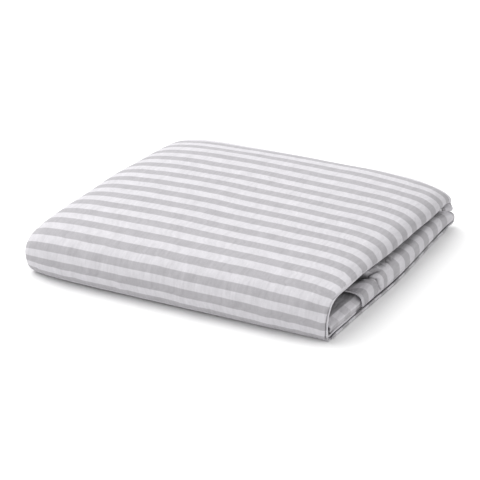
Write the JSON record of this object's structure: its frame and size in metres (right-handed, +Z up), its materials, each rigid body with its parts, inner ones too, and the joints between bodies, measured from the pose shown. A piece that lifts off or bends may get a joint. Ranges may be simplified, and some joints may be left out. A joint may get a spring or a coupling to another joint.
{
  "type": "folded duvet cover",
  "caption": "Striped cotton duvet cover folded flat like a letter, with a rounded front fold and an open side that shows the cloth inside.",
  "frame": {"origin": "under the middle of the pack, on the surface it lies on", "axes": "+X to the right along the front fold, +Y to the back, +Z up"},
  "size_m": [0.3544, 0.2934, 0.0637],
  "materials": {
    "striped_cloth": "woven cotton, white with pale grey stripes, matt with a faint sheen"
  },
  "bodies": {
    "root": {"front_panel": "striped_cloth", "back_panel": "striped_cloth"}
  },
  "joints": []
}
